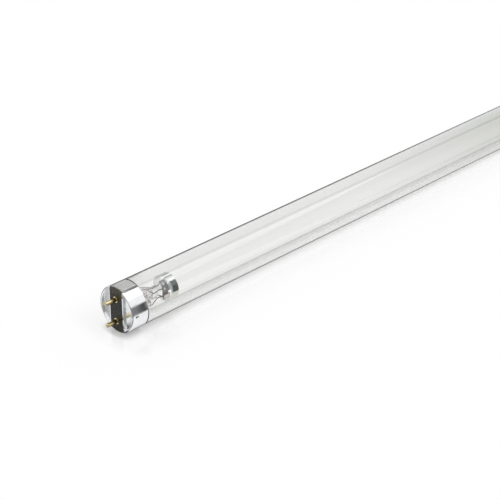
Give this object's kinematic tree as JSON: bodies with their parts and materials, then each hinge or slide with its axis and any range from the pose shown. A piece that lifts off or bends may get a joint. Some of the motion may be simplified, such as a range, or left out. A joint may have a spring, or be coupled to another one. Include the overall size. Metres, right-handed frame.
{
  "type": "germicidal lamp tube",
  "caption": "Straight clear glass discharge tube with a two-pin aluminium cap on each end and a coiled cathode inside each end, for a germicidal ultraviolet fitting.",
  "frame": {"origin": "centre of the lamp on the tube's axis, halfway between the two caps", "axes": "+X along the tube from the near end to the far end, +Z along the line through the two pins of each cap, +Y across"},
  "size_m": [0.4516, 0.026, 0.026],
  "materials": {
    "tube_glass": "clear drawn glass, polished by the draw, with faint lengthwise lines",
    "stem_glass": "clear flame-worked glass, pinched and fused",
    "cap_aluminium": "bright pressed sheet, fine lathe lines",
    "insulator_black": "moulded, fine matt grain",
    "pin_brass": "bright turned brass",
    "basing_cement": "baked cement, rough",
    "lead_wire": "drawn nickel-plated wire, slightly oxidised",
    "coated_coil": "coiled wire under a powdery oxide coat",
    "shield_strip": "rolled nickel-plated strip",
    "holder_strip": "rolled strip, dull, with bright weld spots",
    "capsule_glass": "small blown glass capsule, milky pink",
    "oxidised_wire": "heat-oxidised brown wire"
  },
  "bodies": {
    "root": {"glass_tube": "tube_glass", "near_cap_shell": "cap_aluminium", "near_pin_insulator": "insulator_black", "near_basing_cement": "basing_cement", "near_stem": "stem_glass", "near_exhaust_tube": "stem_glass", "near_upper_pin": "pin_brass", "near_lower_pin": "pin_brass", "near_upper_lead": "lead_wire", "near_lower_lead": "lead_wire", "near_filament": "coated_coil", "near_cathode_shield": "shield_strip", "near_shield_support": "lead_wire", "far_cap_shell": "cap_aluminium", "far_pin_insulator": "insulator_black", "far_basing_cement": "basing_cement", "far_stem": "stem_glass", "far_exhaust_tube": "stem_glass", "far_upper_pin": "pin_brass", "far_lower_pin": "pin_brass", "far_upper_lead": "lead_wire", "far_lower_lead": "lead_wire", "far_filament": "coated_coil", "far_cathode_shield": "shield_strip", "far_shield_support": "lead_wire", "near_capsule_holder": "holder_strip", "near_mercury_capsule": "capsule_glass", "near_capsule_loop": "oxidised_wire"}
  },
  "joints": []
}
